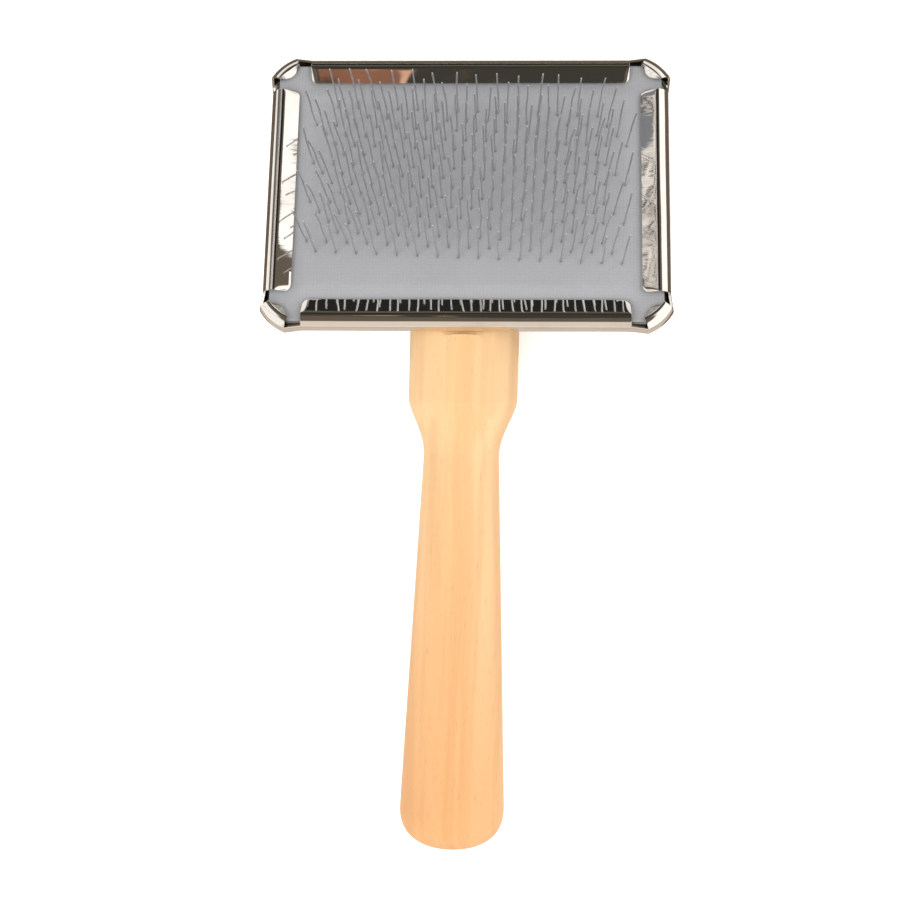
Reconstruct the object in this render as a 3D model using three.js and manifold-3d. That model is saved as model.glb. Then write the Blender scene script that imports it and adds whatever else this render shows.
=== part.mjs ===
// Slicker brush: a turned wooden handle under a pressed metal tray that holds a card of bent wire pins.
//
// Millimetres, +Z up. The brush lies on its back with the pins up and the handle towards -Y. The collar of the
// handle and the far rear edge of the tray both touch z = 0. Head pieces are made in the head's own frame:
// x across, y away from the handle and z out of the tray, with z = 0 on the tray's back.

import * as THREE from 'three';
import { mergeVertices } from 'three/addons/utils/BufferGeometryUtils.js';
import Module from 'manifold-3d';

const wasm = await Module();
wasm.setup();

// ---------------------------------------------------------------- driving dimensions

const GAP = 0.3; // clearance between touching pieces
const SPARE = 1; // how far a cutting tool runs past what it cuts

// tray
const HEAD_WIDTH = 88;
const HEAD_LENGTH = 64.5;
const HEAD_SKEW = THREE.MathUtils.degToRad(1.4); // the head is set slightly askew on the handle
const SHEET = 0.5;
const BACK_BEND_RADIUS = 1.3; // outside of the bend between back and wall
const FOLD_RADIUS = 2.5; // outside of the fold between wall and flange
const FLANGE_REACH = 6.3; // from the wall's outside to the flange's free edge
const FLANGE_SLOPE = THREE.MathUtils.degToRad(15); // flanges fall towards the pad
const LOW_WALL_RISE = 0.3; // wall above the pad's edge in the notches beside each corner
const NOTCH = 3.7; // gap between a flange and the corner tab beside it
const TAB_CUT_X = 4.9; // corner cut, along the head's width
const TAB_CUT_Y = 4.3; // corner cut, along the head's length
const TAB_BULGE = 0.6; // outward bow of a corner
const TAB_PROUD = 0.5; // how far a corner stands outside the sides
const TAB_REACH_END = 0.06; // share of the flange beyond the fold that a tab has at its ends
const TAB_REACH_MIDDLE = 0.42; // share of the flange beyond the fold that a tab has at its middle
const TAB_SEGMENTS = 6;
const INNER_BACK = 0.66; // the back's middle, which the handle meets, as a share of the outline

// pad layers, from the tray's floor up
const PAD_SIDE_GAP = 1; // between the pad's edge and the wall
const FELT_THICKNESS = 0.9;
const FABRIC_THICKNESS = 0.3;
const RUBBER_THICKNESS = 0.5;
const CROWN = 1; // how far the pad swells between the flanges
const CROWN_RUN = 2.3; // width of the sloping border of that swelling
const CROWN_CORNER_X = 0.31; // corner cut of the swelling's top, along the head's width
const CROWN_CORNER_Y = 0.27; // corner cut of the swelling's top, along the head's length

// pins
const PIN_ROWS = 16;
const PIN_COLUMNS = 16; // in a full row; every second pair of rows leaves out both end pins
const SIDE_MARGIN = 11; // from the tray's sides to the end pins of a full row
const NEAR_MARGIN = 16; // from the tray's edge over the handle to the first row
const FAR_MARGIN = 13.5; // from the last row to the tray's far edge
const CARD_SKEW = THREE.MathUtils.degToRad(2.4); // the card is set in slightly askew
const WIRE_RADIUS = 0.19;
const CROWN_BAR_RADIUS = 0.3;
const KNEE_HEIGHT = 9.1; // from the rubber's face to the bend
const TIP_LENGTH = 4.5; // from the bend to the point
const KNEE_BEND = THREE.MathUtils.degToRad(4); // points lean back towards the handle
const SPLAY_ACROSS = THREE.MathUtils.degToRad(5.5); // outward lean of the end pins of a row
const PIN_LEAN = THREE.MathUtils.degToRad(6.5); // lean of the middle rows away from the handle
const SPLAY_ALONG = THREE.MathUtils.degToRad(3.5); // how much more or less the end rows lean
const PIN_SWING = THREE.MathUtils.degToRad(8); // how far a row flexes each way

// handle
const COLLAR_RADIUS = 12;
const COLLAR_LENGTH = 14.4; // from the tray's edge to the shoulder
const SHOULDER_LENGTH = 12.6;
const SHOULDER_POWER = 0.8;
const NECK_RADIUS = 8.3;
const GRIP_RADIUS = 11.55;
const HANDLE_REACH = 114.1; // from the tray's edge to the end of the butt
const BUTT_LENGTH = 9.1;
const BUTT_POWER = 2.4; // how square the rounded butt is
const SEAT_STEP = 0.38; // from the collar's top down to the tray's back, at the tray's edge
const SEAT_REACH = 38; // how far the handle runs under the tray
const SEAT_END_LENGTH = 9;
const HANDLE_SIDES = 40;

// screws that hold the tray to the handle
const SCREW_COUNT = 3;
const SCREW_PITCH = 11;
const SCREW_MARGIN = 12; // from the tray's near edge to the first screw
const SCREW_HEAD_RADIUS = 3;
const SCREW_HEAD_HEIGHT = 1;
const SCREW_EDGE_HEIGHT = 0.6; // of the head's upright edge
const SCREW_EDGE_DRAFT = 0.24; // how far that edge leans in
const SCREW_DOME_RUN = 0.96; // from the edge to the head's flat top
const SCREW_DRIVE_LENGTH = 3.3; // of the cross in the head
const SCREW_DRIVE_WIDTH = 0.7;
const SCREW_DRIVE_DEPTH = 0.35;
const SCREW_RADIUS = 1.45; // over the thread
const SCREW_CORE_RADIUS = 1.05;
const SCREW_REACH = 8; // below the tray's back
const SCREW_POINT = 2;
const THREAD_PITCH = 1.4;
const SCREW_SIDES = 16;

// ---------------------------------------------------------------- sizes that follow from them

const halfWidth = HEAD_WIDTH / 2;
const halfLength = HEAD_LENGTH / 2;
const sideFlangeHalf = halfLength - TAB_CUT_Y - NOTCH;
const endFlangeHalf = halfWidth - TAB_CUT_X - NOTCH;

// heights above the tray's back
const feltBase = SHEET + GAP;
const fabricBase = feltBase + FELT_THICKNESS + GAP;
const rubberBase = fabricBase + FABRIC_THICKNESS + GAP;
const padEdge = rubberBase + RUBBER_THICKNESS;
const rubberFace = padEdge + CROWN;
const crownBarHeight = fabricBase + CROWN - GAP / 2 - CROWN_BAR_RADIUS;
const lowWall = padEdge + LOW_WALL_RISE;

// The flanges come down to the pad's edge, so the pad sets the tray's depth.
const flangeFall = (FLANGE_REACH - FOLD_RADIUS * (1 + Math.sin(FLANGE_SLOPE))) * Math.tan(FLANGE_SLOPE);
const foldRise = FOLD_RADIUS - (FOLD_RADIUS - SHEET) * Math.cos(FLANGE_SLOPE);
const trayDepth = padEdge + GAP + flangeFall + foldRise;

// The pin field keeps its margins to the tray's edges.
const fieldHalfWidth = halfWidth - SIDE_MARGIN;
const fieldHalfLength = (HEAD_LENGTH - NEAR_MARGIN - FAR_MARGIN) / 2;
const fieldCentre = (NEAR_MARGIN - FAR_MARGIN) / 2;
const rowPitch = (2 * fieldHalfLength) / (PIN_ROWS - 1);
const columnPitch = (2 * fieldHalfWidth) / (PIN_COLUMNS - 1);

// The head tilts until the tray's far rear edge is as low as the collar's underside. The edge is rounded,
// and as the head is askew, its corner beside one end of the far flange is the lowest.
const seatHeight = 2 * COLLAR_RADIUS - SEAT_STEP;
const cornerReach =
  (halfLength + TAB_PROUD) * Math.cos(HEAD_SKEW) +
  (halfWidth - TAB_CUT_X) * Math.sin(Math.abs(HEAD_SKEW));
const edgeArm = halfLength + cornerReach - BACK_BEND_RADIUS;
const headTilt =
  Math.asin((seatHeight - BACK_BEND_RADIUS) / Math.hypot(edgeArm, BACK_BEND_RADIUS)) +
  Math.atan2(BACK_BEND_RADIUS, edgeArm);
const headHeight = seatHeight - halfLength * Math.sin(headTilt);
const trayEdgeY = -halfLength * Math.cos(headTilt);

// ---------------------------------------------------------------- solids

/** A closed geometry as a manifold-3d solid. */
function toSolid(geometry) {
  const bare = geometry.clone();
  bare.deleteAttribute('normal');
  bare.deleteAttribute('uv');
  const merged = mergeVertices(bare, 1e-5);
  return new wasm.Manifold(
    new wasm.Mesh({
      numProp: 3,
      vertProperties: new Float32Array(merged.attributes.position.array),
      triVerts: new Uint32Array(merged.index.array),
    }),
  );
}

/** A manifold-3d solid as a geometry. */
function toGeometry(solid) {
  const mesh = solid.getMesh();
  const geometry = new THREE.BufferGeometry();
  geometry.setAttribute('position', new THREE.BufferAttribute(mesh.vertProperties, 3));
  geometry.setIndex(new THREE.BufferAttribute(mesh.triVerts, 1));
  geometry.computeVertexNormals();
  return geometry;
}

/** A solid skinned over rings of equally many points, closed at both ends by flat caps. */
function ringSolid(rings) {
  const count = rings[0].length;
  const positions = rings.flat().flatMap((p) => [p.x, p.y, p.z]);
  const indices = [];
  for (let r = 0; r + 1 < rings.length; r++) {
    for (let i = 0; i < count; i++) {
      const a = r * count + i;
      const b = r * count + ((i + 1) % count);
      indices.push(a, b, b + count, a, b + count, a + count);
    }
  }
  const flat = (ring) => ring.map((p) => new THREE.Vector2(p.x, p.y));
  const last = (rings.length - 1) * count;
  for (const [a, b, c] of THREE.ShapeUtils.triangulateShape(flat(rings[0]), [])) {
    indices.push(a, c, b);
  }
  for (const [a, b, c] of THREE.ShapeUtils.triangulateShape(flat(rings.at(-1)), [])) {
    indices.push(last + a, last + b, last + c);
  }
  const geometry = new THREE.BufferGeometry();
  geometry.setAttribute('position', new THREE.Float32BufferAttribute(positions, 3));
  geometry.setIndex(indices);
  return toSolid(geometry);
}

function box(width, length, height, x, y, z) {
  return new THREE.BoxGeometry(width, length, height).translate(x, y, z);
}

/** A round cutting tool on the head's middle line, reaching as far above the tray's back as below it. */
function uprightHole(radius, reach, y) {
  const cylinder = new THREE.CylinderGeometry(radius, radius, 2 * reach, SCREW_SIDES);
  return toSolid(cylinder.rotateX(Math.PI / 2).translate(0, y, 0));
}

/** A turned solid about the z axis, from a profile of [radius, height] that starts and ends on the axis. */
function turned(profile, sides) {
  const points = profile.map(([radius, height]) => new THREE.Vector2(radius, height));
  return new THREE.LatheGeometry(points, sides).rotateX(Math.PI / 2);
}

// ---------------------------------------------------------------- outlines of the head

/** The tray's outline, counterclockwise. Each point's share scales the flange's reach there. */
function trayOutline() {
  const start = new THREE.Vector2(halfWidth + TAB_PROUD, halfLength - TAB_CUT_Y);
  const end = new THREE.Vector2(halfWidth - TAB_CUT_X, halfLength + TAB_PROUD);
  const chord = end.clone().sub(start);
  const outward = new THREE.Vector2(chord.y, -chord.x).normalize();
  const quarter = [{ x: halfWidth, y: sideFlangeHalf, share: 1 }];
  for (let i = 0; i <= TAB_SEGMENTS; i++) {
    const along = i / TAB_SEGMENTS;
    const bow = 4 * along * (1 - along) * TAB_BULGE;
    const rise = Math.sin(Math.PI * along);
    quarter.push({
      x: start.x + chord.x * along + outward.x * bow,
      y: start.y + chord.y * along + outward.y * bow,
      share: TAB_REACH_END + (TAB_REACH_MIDDLE - TAB_REACH_END) * rise,
    });
  }
  quarter.push({ x: endFlangeHalf, y: halfLength, share: 1 });
  return allQuarters(quarter);
}

/** The pad's outline without its inset: the tray's, with plain corner cuts. */
function padOutline() {
  return cutCorners(halfWidth, halfLength, TAB_CUT_X, TAB_CUT_Y);
}

/** A rectangle of the given half sizes with its corners cut off, counterclockwise. */
function cutCorners(x, y, cutX, cutY) {
  return allQuarters([
    { x, y: y - cutY },
    { x: x - cutX, y },
  ]);
}

/** Mirrors one corner's points into all four, counterclockwise. */
function allQuarters(quarter) {
  const mirrored = (sx, sy) => quarter.map((p) => ({ ...p, x: sx * p.x, y: sy * p.y }));
  return [
    ...quarter,
    ...mirrored(-1, 1).reverse(),
    ...mirrored(-1, -1),
    ...mirrored(1, -1).reverse(),
  ];
}

/** A closed outline moved inwards by a distance that may differ from point to point. */
function insetRing(outline, distanceAt, height) {
  return outline.map((p, i) => {
    const before = outline.at(i - 1);
    const after = outline[(i + 1) % outline.length];
    const n1 = new THREE.Vector2(before.y - p.y, p.x - before.x).normalize();
    const n2 = new THREE.Vector2(p.y - after.y, after.x - p.x).normalize();
    const scale = distanceAt(p) / (1 + n1.dot(n2));
    return new THREE.Vector3(p.x + (n1.x + n2.x) * scale, p.y + (n1.y + n2.y) * scale, height);
  });
}

// ---------------------------------------------------------------- tray

/** One face of the bent sheet, from back to free edge: [inset from the outline, height]. */
function sheetFace(thickness) {
  const bend = BACK_BEND_RADIUS - thickness;
  const fold = FOLD_RADIUS - thickness;
  const foldHeight = trayDepth - FOLD_RADIUS;
  const bendSteps = 4;
  const foldSteps = 7;
  const face = [];
  for (let i = 0; i <= bendSteps; i++) {
    const turn = (i / bendSteps) * (Math.PI / 2);
    face.push([
      BACK_BEND_RADIUS - bend * Math.sin(turn),
      BACK_BEND_RADIUS - bend * Math.cos(turn),
    ]);
  }
  for (let i = 0; i <= foldSteps; i++) {
    const turn = (i / foldSteps) * (Math.PI / 2 + FLANGE_SLOPE);
    face.push([FOLD_RADIUS - fold * Math.cos(turn), foldHeight + fold * Math.sin(turn)]);
  }
  const [foldEnd, foldTop] = face.at(-1);
  const edge = FLANGE_REACH - thickness * Math.sin(FLANGE_SLOPE);
  face.push([edge, foldTop - (edge - foldEnd) * Math.tan(FLANGE_SLOPE)]);
  return face;
}

function tray() {
  const outline = trayOutline();
  const profile = [...sheetFace(0), ...sheetFace(SHEET).reverse()];
  const rings = profile.map(([inset, height]) => {
    const wallInset = Math.min(inset, FOLD_RADIUS);
    return insetRing(outline, (p) => wallInset + (inset - wallInset) * p.share, height);
  });
  const innerBack = outline.map((p) => new THREE.Vector3(p.x * INNER_BACK, p.y * INNER_BACK, 0));
  let solid = ringSolid([innerBack, ...rings]);
  for (const notch of notchTools()) {
    solid = solid.subtract(notch);
  }
  for (const y of screwPlaces()) {
    solid = solid.subtract(uprightHole(SCREW_RADIUS + GAP, SHEET + SPARE, y));
  }
  return solid;
}

/** The cuts between each corner tab and the flanges beside it. */
function notchTools() {
  const height = trayDepth + SPARE - lowWall;
  const depth = FLANGE_REACH + 2 * SPARE;
  const tools = [];
  for (const sx of [-1, 1]) {
    for (const sy of [-1, 1]) {
      const z = lowWall + height / 2;
      const inset = FLANGE_REACH / 2;
      const sideY = sy * (sideFlangeHalf + NOTCH / 2);
      const endX = sx * (endFlangeHalf + NOTCH / 2);
      tools.push(toSolid(box(depth, NOTCH, height, sx * (halfWidth - inset), sideY, z)));
      tools.push(toSolid(box(NOTCH, depth, height, endX, sy * (halfLength - inset), z)));
    }
  }
  return tools;
}

// ---------------------------------------------------------------- pad layers

/** A layer of the pad: flat under the flanges and raised by CROWN between them. */
function padLayer(base, thickness, crownedBelow) {
  const edge = SHEET + PAD_SIDE_GAP;
  const crownInset = FLANGE_REACH + SHEET / 2 + CROWN_RUN;
  const crown = cutCorners(halfWidth - crownInset, halfLength - crownInset, CROWN_CORNER_X, CROWN_CORNER_Y);
  const edgeRing = (height) => insetRing(padOutline(), () => edge, height);
  const crownRing = (reach, height) => insetRing(crown, () => -reach, height);
  const top = base + thickness;
  const below = crownedBelow ? [crownRing(0, base + CROWN), crownRing(CROWN_RUN, base)] : [];
  return ringSolid([
    ...below,
    edgeRing(base),
    edgeRing(top),
    crownRing(CROWN_RUN, top),
    crownRing(0, top + CROWN),
  ]);
}

/** Cuts the pin rows' slots out of a layer, from a height up. */
function cutRowSlots(layer, floor, halfWide) {
  const length = 2 * fieldHalfWidth + columnPitch / 2 + 2 * (CROWN_BAR_RADIUS + GAP);
  const height = rubberFace + SPARE - floor;
  let solid = layer;
  for (let row = 0; row < PIN_ROWS; row++) {
    const slot = box(length, 2 * halfWide, height, 0, rowPlace(row), floor + height / 2);
    solid = solid.subtract(toSolid(slot.applyMatrix4(cardMatrix())));
  }
  return solid;
}

function felt() {
  const groove = CROWN_BAR_RADIUS + GAP;
  let solid = padLayer(feltBase, FELT_THICKNESS, false);
  solid = cutRowSlots(solid, crownBarHeight - groove, groove);
  for (const y of screwPlaces()) {
    solid = solid.subtract(uprightHole(SCREW_HEAD_RADIUS + GAP, trayDepth, y));
  }
  return solid;
}

/** A layer that the pins pass through, with slots wide enough for them to swing. */
function cardLayer(base, thickness) {
  const swing = (rubberFace - crownBarHeight) * Math.tan(PIN_SWING + PIN_LEAN + SPLAY_ALONG);
  return cutRowSlots(padLayer(base, thickness, true), base - SPARE, WIRE_RADIUS + swing + GAP / 2);
}

// ---------------------------------------------------------------- pins

/** Where the pin card lies in the head: turned about the pin field's centre by its skew. */
function cardMatrix() {
  return new THREE.Matrix4().makeRotationZ(-CARD_SKEW).setPosition(0, fieldCentre, 0);
}

/** A row's place along the card, from the field's centre. */
function rowPlace(row) {
  return row * rowPitch - fieldHalfLength;
}

/** A bent wire of square section, from its root through its knee to its point. */
function wire(root, knee, point) {
  const ring = (centre, height) =>
    [0, 1, 2, 3].map((i) => {
      const turn = (i * Math.PI) / 2;
      return new THREE.Vector3(
        centre.x + WIRE_RADIUS * Math.cos(turn),
        centre.y + WIRE_RADIUS * Math.sin(turn),
        height,
      );
    });
  return ringSolid([ring(root, root.z), ring(knee, knee.z), ring(point, point.z)]);
}

/** One row of pins, standing on the strip that their crowns form under the card. */
function pinRow(row) {
  const stagger = ((row % 2 ? -1 : 1) * columnPitch) / 4;
  const left = Math.floor(row / 2) % 2;
  const y = rowPlace(row);
  const lean = PIN_LEAN + (SPLAY_ALONG * y) / fieldHalfLength;
  const first = left * columnPitch - fieldHalfWidth + stagger;
  const last = (PIN_COLUMNS - 1 - left) * columnPitch - fieldHalfWidth + stagger;
  const barLength = last - first + 2 * CROWN_BAR_RADIUS;
  const bar = new THREE.CylinderGeometry(CROWN_BAR_RADIUS, CROWN_BAR_RADIUS, barLength, 6);
  let solid = toSolid(bar.rotateZ(Math.PI / 2).translate((first + last) / 2, y, crownBarHeight));
  for (let x = first; x < last + columnPitch / 2; x += columnPitch) {
    const aside = (SPLAY_ACROSS * x) / fieldHalfWidth;
    const legHeight = rubberFace + KNEE_HEIGHT - crownBarHeight;
    const tipHeight = TIP_LENGTH * Math.cos(KNEE_BEND);
    const leg = new THREE.Vector3(Math.tan(aside), Math.tan(lean), 1).multiplyScalar(legHeight);
    const tip = new THREE.Vector3(Math.tan(aside), Math.tan(lean - KNEE_BEND), 1);
    const root = new THREE.Vector3(x, y, crownBarHeight);
    const knee = root.clone().add(leg);
    const point = knee.clone().add(tip.multiplyScalar(tipHeight));
    solid = solid.add(wire(root, knee, point));
  }
  return solid;
}

// ---------------------------------------------------------------- screws

/** The screws' places along the head. */
function screwPlaces() {
  return Array.from({ length: SCREW_COUNT }, (_, i) => SCREW_MARGIN + i * SCREW_PITCH - halfLength);
}

function screw() {
  const headBase = SHEET + GAP;
  const headTop = headBase + SCREW_HEAD_HEIGHT;
  const threadEnd = SCREW_POINT - SCREW_REACH;
  const threadStart = -SHEET;
  const profile = [
    [0, -SCREW_REACH],
    [SCREW_CORE_RADIUS, threadEnd],
  ];
  for (let z = threadEnd; z + THREAD_PITCH < threadStart; z += THREAD_PITCH) {
    profile.push([SCREW_RADIUS, z + THREAD_PITCH / 2], [SCREW_CORE_RADIUS, z + THREAD_PITCH]);
  }
  profile.push(
    [SCREW_CORE_RADIUS, headBase],
    [SCREW_HEAD_RADIUS, headBase],
    [SCREW_HEAD_RADIUS - SCREW_EDGE_DRAFT, headBase + SCREW_EDGE_HEIGHT],
    [SCREW_HEAD_RADIUS - SCREW_EDGE_DRAFT - SCREW_DOME_RUN, headTop],
    [0, headTop],
  );
  const depth = 2 * SCREW_DRIVE_DEPTH;
  const slotAcross = toSolid(box(SCREW_DRIVE_LENGTH, SCREW_DRIVE_WIDTH, depth, 0, 0, headTop));
  const slotAlong = toSolid(box(SCREW_DRIVE_WIDTH, SCREW_DRIVE_LENGTH, depth, 0, 0, headTop));
  return toSolid(turned(profile, SCREW_SIDES)).subtract(slotAcross).subtract(slotAlong);
}

// ---------------------------------------------------------------- handle

/** Radius of a rounded end at a share of its length, from 0 at its shoulder to 1 at its tip. */
function roundedEnd(radius, share) {
  return radius * (1 - share ** BUTT_POWER) ** (1 / BUTT_POWER);
}

/** The turned profile, from the end under the tray to the butt: [radius, distance along the axis]. */
function handleProfile() {
  const endSteps = 8;
  const shoulderSteps = 9;
  const profile = [];
  for (let i = endSteps; i >= 0; i--) {
    const share = Math.sin(((i / endSteps) * Math.PI) / 2);
    profile.push([roundedEnd(COLLAR_RADIUS, share), SEAT_END_LENGTH * (1 - share) - SEAT_REACH]);
  }
  for (let i = 0; i <= shoulderSteps; i++) {
    const share = i / shoulderSteps;
    const fall = (1 + Math.cos(Math.PI * share ** SHOULDER_POWER)) / 2;
    profile.push([
      NECK_RADIUS + (COLLAR_RADIUS - NECK_RADIUS) * fall,
      COLLAR_LENGTH + SHOULDER_LENGTH * share,
    ]);
  }
  for (let i = 0; i <= endSteps; i++) {
    const share = Math.sin(((i / endSteps) * Math.PI) / 2);
    profile.push([roundedEnd(GRIP_RADIUS, share), HANDLE_REACH - BUTT_LENGTH * (1 - share)]);
  }
  return profile;
}

/** The handle in the brush's frame, cut to a sloping seat for the tray and drilled for the screws. */
function handle() {
  const profile = handleProfile();
  const points = profile.map(([radius, along]) => new THREE.Vector2(radius, -along));
  const wood = new THREE.LatheGeometry(points.reverse(), HANDLE_SIDES);
  const side = 4 * (HEAD_LENGTH + HANDLE_REACH);
  const above = box(side, side, side, 0, 0, side / 2 - GAP).applyMatrix4(head.matrix);
  let solid = toSolid(wood.translate(0, trayEdgeY, COLLAR_RADIUS)).subtract(toSolid(above));
  for (const y of screwPlaces()) {
    const bore = uprightHole(SCREW_RADIUS + GAP, SCREW_REACH + GAP, y);
    solid = solid.subtract(bore.transform(head.matrix.elements));
  }
  return solid;
}

// ---------------------------------------------------------------- materials

const steel = new THREE.MeshStandardMaterial({ color: 0xcfd0cd, roughness: 0.12, metalness: 1 });
const wireSteel = new THREE.MeshStandardMaterial({ color: 0x77797c, roughness: 0.3, metalness: 1 });
const screwSteel = new THREE.MeshStandardMaterial({ color: 0xb9a25a, roughness: 0.35, metalness: 1 });
const beech = new THREE.MeshStandardMaterial({ color: 0xf2c08c, roughness: 0.5, metalness: 0 });
const rubber = new THREE.MeshStandardMaterial({ color: 0xa9abb0, roughness: 0.85, metalness: 0 });
const fabric = new THREE.MeshStandardMaterial({ color: 0xd8d2c0, roughness: 0.95, metalness: 0 });
const feltGrey = new THREE.MeshStandardMaterial({ color: 0x8d8f92, roughness: 1, metalness: 0 });

// ---------------------------------------------------------------- assembly

function part(name, solid, material) {
  const mesh = new THREE.Mesh(toGeometry(solid), material);
  mesh.name = name;
  return mesh;
}

const head = new THREE.Group();
head.position.z = headHeight;
head.rotation.set(-headTilt, 0, HEAD_SKEW);
head.updateMatrix();

head.add(part('head_tray', tray(), steel));
head.add(part('felt_cushion', felt(), feltGrey));
head.add(part('card_fabric', cardLayer(fabricBase, FABRIC_THICKNESS), fabric));
head.add(part('card_rubber_face', cardLayer(rubberBase, RUBBER_THICKNESS), rubber));

const pins = new THREE.Group();
pins.applyMatrix4(cardMatrix());
for (let row = 0; row < PIN_ROWS; row++) {
  const number = String(row + 1).padStart(2, '0');
  pins.add(part(`pin_row_${number}`, pinRow(row), wireSteel));
}
head.add(pins);

screwPlaces().forEach((y, i) => {
  const mesh = part(`tray_screw_${i + 1}`, screw(), screwSteel);
  mesh.position.y = y;
  head.add(mesh);
});

const brush = new THREE.Group();
brush.add(head);
brush.add(part('handle', handle(), beech));

// The origin is on the surface that the brush lies on, under the middle of its length.
brush.updateMatrixWorld(true);
const extent = new THREE.Box3().setFromObject(brush, true);
brush.position.set(0, -(extent.min.y + extent.max.y) / 2, -extent.min.z);
brush.updateMatrixWorld(true);

export default brush;
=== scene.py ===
import math

import bmesh
import bpy
import numpy as np
from mathutils import Matrix, Vector


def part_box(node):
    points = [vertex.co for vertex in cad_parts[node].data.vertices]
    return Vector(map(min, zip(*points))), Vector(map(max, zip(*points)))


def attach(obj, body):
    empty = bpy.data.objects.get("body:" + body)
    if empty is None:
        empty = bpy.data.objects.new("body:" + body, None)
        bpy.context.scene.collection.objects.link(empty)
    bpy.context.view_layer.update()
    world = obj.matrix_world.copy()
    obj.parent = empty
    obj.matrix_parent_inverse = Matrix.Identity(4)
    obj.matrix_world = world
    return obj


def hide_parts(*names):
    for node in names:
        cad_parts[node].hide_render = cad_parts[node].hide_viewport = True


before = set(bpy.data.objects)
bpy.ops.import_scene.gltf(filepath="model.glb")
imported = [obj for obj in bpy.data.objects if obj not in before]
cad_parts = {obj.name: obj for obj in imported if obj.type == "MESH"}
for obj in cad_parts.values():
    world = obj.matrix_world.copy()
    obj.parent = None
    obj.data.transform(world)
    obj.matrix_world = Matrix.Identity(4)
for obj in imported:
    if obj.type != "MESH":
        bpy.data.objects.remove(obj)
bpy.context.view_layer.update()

MM = 0.001

# Sizes in millimetres, as in the CAD part.
GAP = 0.3
HEAD_WIDTH = 88
HEAD_LENGTH = 64.5
HEAD_SKEW = math.radians(1.4)
SHEET = 0.5
BACK_BEND_RADIUS = 1.3
FOLD_RADIUS = 2.5
FLANGE_REACH = 6.3
FLANGE_SLOPE = math.radians(15)
LOW_WALL_RISE = 0.3
NOTCH = 3.7
TAB_CUT_X = 4.9
TAB_CUT_Y = 4.3
TAB_BULGE = 0.6
TAB_PROUD = 0.5
TAB_REACH_END = 0.06
TAB_REACH_MIDDLE = 0.42
PAD_SIDE_GAP = 1
FELT_THICKNESS = 0.9
FABRIC_THICKNESS = 0.3
RUBBER_THICKNESS = 0.5
CROWN = 1
PIN_ROWS = 16
PIN_COLUMNS = 16
SIDE_MARGIN = 11
NEAR_MARGIN = 16
FAR_MARGIN = 13.5
CARD_SKEW = math.radians(2.4)
CROWN_BAR_RADIUS = 0.3
KNEE_HEIGHT = 9.1
TIP_LENGTH = 4.5
KNEE_BEND = math.radians(4)
PIN_LEAN = math.radians(6.5)
SPLAY_ACROSS = math.radians(5.5)
SPLAY_ALONG = math.radians(3.5)
COLLAR_RADIUS = 12
COLLAR_LENGTH = 14.4
SHOULDER_LENGTH = 12.6
SHOULDER_POWER = 0.8
NECK_RADIUS = 8.3
GRIP_RADIUS = 11.55
HANDLE_REACH = 114.1
BUTT_LENGTH = 9.1
BUTT_POWER = 2.4
SEAT_STEP = 0.38
SEAT_REACH = 38
SEAT_END_LENGTH = 9

half_width = HEAD_WIDTH / 2
half_length = HEAD_LENGTH / 2
side_flange_half = half_length - TAB_CUT_Y - NOTCH
end_flange_half = half_width - TAB_CUT_X - NOTCH
fabric_base = SHEET + GAP + FELT_THICKNESS + GAP
pad_edge = fabric_base + FABRIC_THICKNESS + GAP + RUBBER_THICKNESS
crown_bar_height = fabric_base + CROWN - GAP / 2 - CROWN_BAR_RADIUS
low_wall = pad_edge + LOW_WALL_RISE
flange_fall = (FLANGE_REACH - FOLD_RADIUS * (1 + math.sin(FLANGE_SLOPE))) * math.tan(
    FLANGE_SLOPE
)
fold_rise = FOLD_RADIUS - (FOLD_RADIUS - SHEET) * math.cos(FLANGE_SLOPE)
tray_depth = pad_edge + GAP + flange_fall + fold_rise
field_half_width = half_width - SIDE_MARGIN
field_half_length = (HEAD_LENGTH - NEAR_MARGIN - FAR_MARGIN) / 2
field_centre = (NEAR_MARGIN - FAR_MARGIN) / 2
row_pitch = 2 * field_half_length / (PIN_ROWS - 1)
column_pitch = 2 * field_half_width / (PIN_COLUMNS - 1)
seat_height = 2 * COLLAR_RADIUS - SEAT_STEP
corner_reach = (half_length + TAB_PROUD) * math.cos(HEAD_SKEW) + (
    half_width - TAB_CUT_X
) * math.sin(HEAD_SKEW)
edge_arm = half_length + corner_reach - BACK_BEND_RADIUS
head_tilt = math.asin(
    (seat_height - BACK_BEND_RADIUS) / math.hypot(edge_arm, BACK_BEND_RADIUS)
) + math.atan2(BACK_BEND_RADIUS, edge_arm)
head_height = seat_height - half_length * math.sin(head_tilt)
butt_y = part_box("handle")[0].y / MM
tray_edge_y = butt_y + HANDLE_REACH
head_y = tray_edge_y + half_length * math.cos(head_tilt)

HEAD = (
    Matrix.Translation(Vector((0, head_y, head_height)) * MM)
    @ Matrix.Rotation(-head_tilt, 4, "X")
    @ Matrix.Rotation(HEAD_SKEW, 4, "Z")
)
CARD_SPIN = Matrix.Rotation(-CARD_SKEW, 4, "Z")
CARD = HEAD @ Matrix.Translation((0, field_centre * MM, 0)) @ CARD_SPIN

# The same place within the head, in millimetres.
CARD_TURN = Matrix.Translation((0, field_centre, 0)) @ CARD_SPIN


# ---------------------------------------------------------------- making pieces


def make_piece(name, points, faces, body, matrix=None):
    """A smooth-shaded mesh from points in millimetres, placed by a matrix and riding on a body."""
    mesh = bpy.data.meshes.new(name)
    mesh.from_pydata((np.asarray(points, float) * MM).tolist(), [], faces)
    mesh.validate()
    mesh.shade_smooth()
    piece = bpy.data.objects.new(name, mesh)
    bpy.context.scene.collection.objects.link(piece)
    if matrix is not None:
        piece.matrix_world = matrix
    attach(piece, body)
    return piece


def add_modifier(piece, kind, **settings):
    modifier = piece.modifiers.new(kind.title(), kind)
    for key, value in settings.items():
        setattr(modifier, key, value)


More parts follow.
